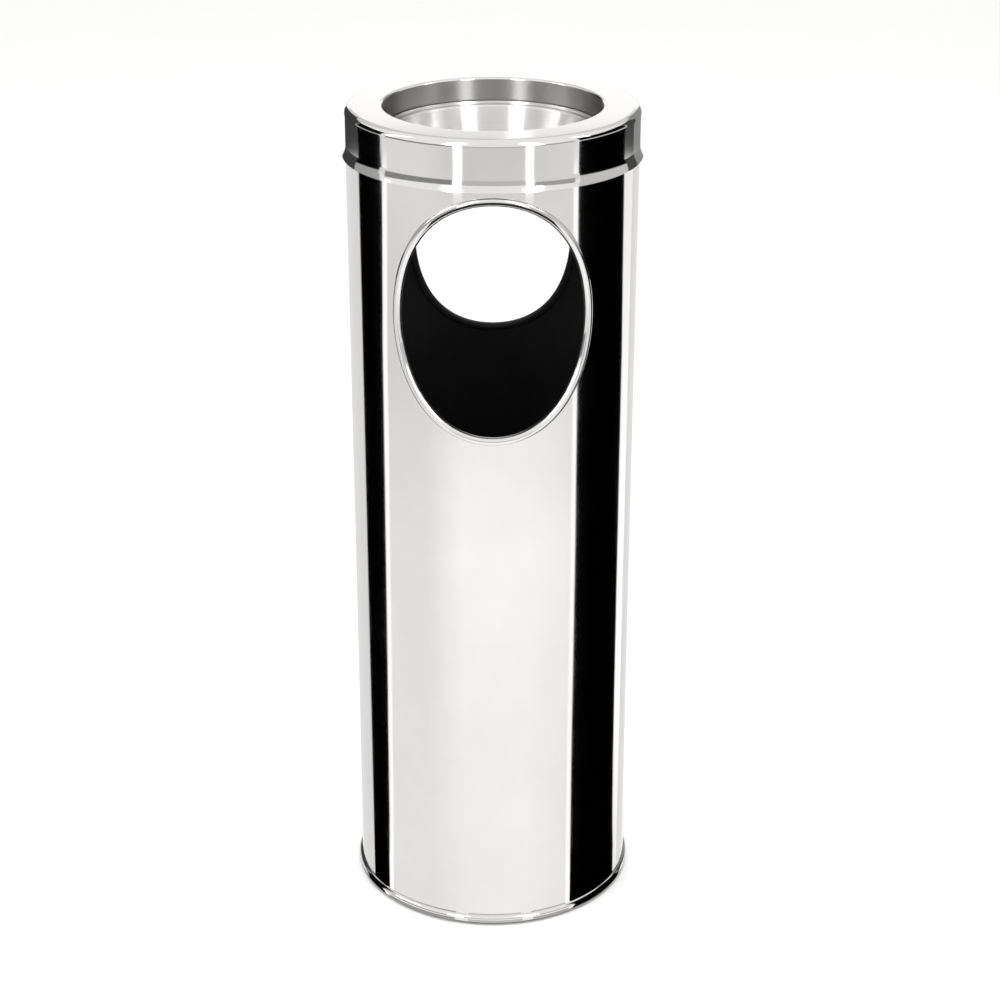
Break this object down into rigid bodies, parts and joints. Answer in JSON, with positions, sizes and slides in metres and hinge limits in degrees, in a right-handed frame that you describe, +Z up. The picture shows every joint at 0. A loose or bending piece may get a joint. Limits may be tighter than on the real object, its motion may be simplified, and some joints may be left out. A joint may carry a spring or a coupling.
{
  "type": "ashtray bin",
  "caption": "Slim round floor-standing litter bin in polished steel, open front and rear, with a lift-off head holding an ash bowl and a lift-out inner bin with a bail handle.",
  "frame": {"origin": "centre of the bin's footprint on the floor", "axes": "+Z up along the tube's axis, front opening towards -Y, +X to the right seen from the front"},
  "size_m": [0.21, 0.21, 0.6],
  "materials": {
    "polished_steel": "mirror-polished stainless steel sheet; the tube's inner face is black enamelled",
    "turned_steel": "stainless steel with fine turning marks running round",
    "plain_steel": "plain mill-finish stainless steel",
    "black_sheet": "satin black powder coat on steel sheet",
    "galvanised_steel": "galvanised steel sheet with a dull spangle",
    "zinc_plated_steel": "bright zinc-plated steel",
    "black_rubber": "moulded black rubber",
    "black_plastic": "moulded black plastic"
  },
  "bodies": {
    "body": {"body_shell": "polished_steel", "front_opening_trim": "polished_steel", "rear_opening_trim": "polished_steel", "neck_ring": "plain_steel", "base_bead": "polished_steel", "base_plate": "black_sheet", "rubber_foot_1": "black_rubber", "rubber_foot_2": "black_rubber", "rubber_foot_3": "black_rubber", "rubber_foot_4": "black_rubber", "foot_screws": "zinc_plated_steel", "foot_washers": "zinc_plated_steel", "foot_nuts": "zinc_plated_steel"},
    "head": {"head_rim": "polished_steel", "bowl_seat": "plain_steel"},
    "ash_bowl": {"ash_bowl": "turned_steel"},
    "inner_bin": {"bin_bucket": "galvanised_steel", "bail_ear_left": "galvanised_steel", "bail_ear_right": "galvanised_steel", "ear_rivets": "plain_steel"},
    "bail": {"bail_wire": "zinc_plated_steel", "bail_grip": "black_plastic"}
  },
  "joints": [
    {"name": "head_lift", "type": "slide", "parent": "body", "child": "head", "axis": [0, 0, 1], "range_m": [0, 0.7]},
    {"name": "bowl_lift", "type": "slide", "parent": "head", "child": "ash_bowl", "axis": [0, 0, 1], "range_m": [0, 0.1]},
    {"name": "inner_bin_lift", "type": "slide", "parent": "body", "child": "inner_bin", "axis": [0, 0, 1], "range_m": [0, 0.63]},
    {"name": "bail_swing", "type": "hinge", "parent": "inner_bin", "child": "bail", "pos_m": [0, 0, 0.288], "axis": [-1, 0, 0], "range_deg": [0, 208]}
  ],
  "couplings": [
    {"joint": "inner_bin_lift", "follows": "head_lift", "ratio": 0.9}
  ]
}
